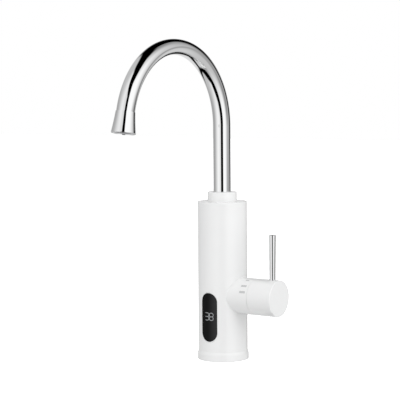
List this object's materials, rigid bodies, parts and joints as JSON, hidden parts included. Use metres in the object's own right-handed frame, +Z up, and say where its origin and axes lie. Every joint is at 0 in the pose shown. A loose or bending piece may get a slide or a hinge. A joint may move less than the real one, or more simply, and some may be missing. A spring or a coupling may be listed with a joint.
{
  "type": "electric instant water heater tap",
  "caption": "Deck-mounted kitchen tap with a round upright heater body, a swivelling gooseneck spout, a side barrel with an upright lever rod and an oblong temperature display.",
  "frame": {"origin": "centre of the base's underside, on the axis of the housing, in the mouth of the inlet socket", "axes": "+Z up along the housing, -Y to the front, where the spout and the display point, +X along the side barrel of the handle"},
  "size_m": [0.1133, 0.2355, 0.3874],
  "materials": {
    "white_shell": "glossy white moulded plastic",
    "chrome_tube": "mirror chrome plate",
    "rod_chrome": "polished chrome plate",
    "brass_fittings": "machined brass",
    "steel_vessel": "drawn stainless steel",
    "steel_small": "plain bright steel",
    "element_sheath": "heat-tinted steel sheath",
    "black_rubber": "matt moulded rubber",
    "grey_nylon": "moulded nylon",
    "black_plastic": "matt moulded plastic",
    "green_board": "varnished circuit board",
    "white_ceramic": "ground ceramic",
    "lens_black": "dark polished window",
    "lit_figures": "lit white figures",
    "led_module": "light moulded plastic",
    "cable_cover": "flexible cable cover"
  },
  "bodies": {
    "root": {"housing_shell": "white_shell", "base_ring": "white_shell", "spout_collar": "white_shell", "display_bezel": "white_shell", "base_plate": "brass_fittings", "valve_body": "brass_fittings", "cartridge_body": "brass_fittings", "cartridge_nut": "brass_fittings", "vessel_lid": "brass_fittings", "heater_vessel": "steel_vessel", "cutout_band": "steel_vessel", "base_screws": "steel_small", "lid_screws": "steel_small", "triac_screw": "steel_small", "earth_screw": "steel_small", "inlet_filter": "steel_small", "temperature_probe": "steel_small", "heating_element": "element_sheath", "base_gasket": "black_rubber", "cable_gland": "black_rubber", "inlet_washer": "black_rubber", "flow_tube_seals": "black_rubber", "cartridge_seal": "black_rubber", "vessel_inlet_seal": "black_rubber", "vessel_gasket": "black_rubber", "flow_tube": "grey_nylon", "spout_washer": "grey_nylon", "terminal_block": "grey_nylon", "chassis_frame": "grey_nylon", "display_carrier": "black_plastic", "power_relay": "black_plastic", "power_capacitor": "black_plastic", "triac": "black_plastic", "thermal_cutout": "black_plastic", "reed_switch": "black_plastic", "display_board": "green_board", "control_board": "green_board", "fixed_ceramic_disc": "white_ceramic", "element_terminals": "white_ceramic", "display_lens": "lens_black", "display_digits": "lit_figures", "display_module": "led_module", "heater_leads": "cable_cover", "display_ribbon": "cable_cover"},
    "spout": {"spout_tube": "chrome_tube", "spout_ferrule": "brass_fittings", "spout_o_rings": "black_rubber", "spout_nozzle": "chrome_tube", "aerator_washer": "black_rubber", "aerator_body": "grey_nylon", "aerator_mesh": "steel_small"},
    "handle": {"handle_sleeve": "white_shell", "handle_rod": "rod_chrome", "handle_screw": "steel_small", "cartridge_spindle": "brass_fittings", "moving_ceramic_disc": "white_ceramic", "spindle_seal": "black_rubber"},
    "flow_lifter": {"flow_piston": "grey_nylon", "flow_magnet": "steel_small", "flow_spring": "steel_small"}
  },
  "joints": [
    {"name": "spout_swivel", "type": "hinge", "parent": "root", "child": "spout", "pos_m": [0, 0, 0.2], "axis": [0, 0, 1], "continuous": true},
    {"name": "handle_turn", "type": "hinge", "parent": "root", "child": "handle", "pos_m": [0.05, 0, 0.0793], "axis": [1, 0, 0], "range_deg": [-90, 90]},
    {"name": "flow_lift", "type": "slide", "parent": "root", "child": "flow_lifter", "axis": [0, 0, 1], "range_m": [0, 0.006], "stiffness_N_per_m": 25, "springref_m": -0.004, "deforming": ["flow_spring"]}
  ]
}
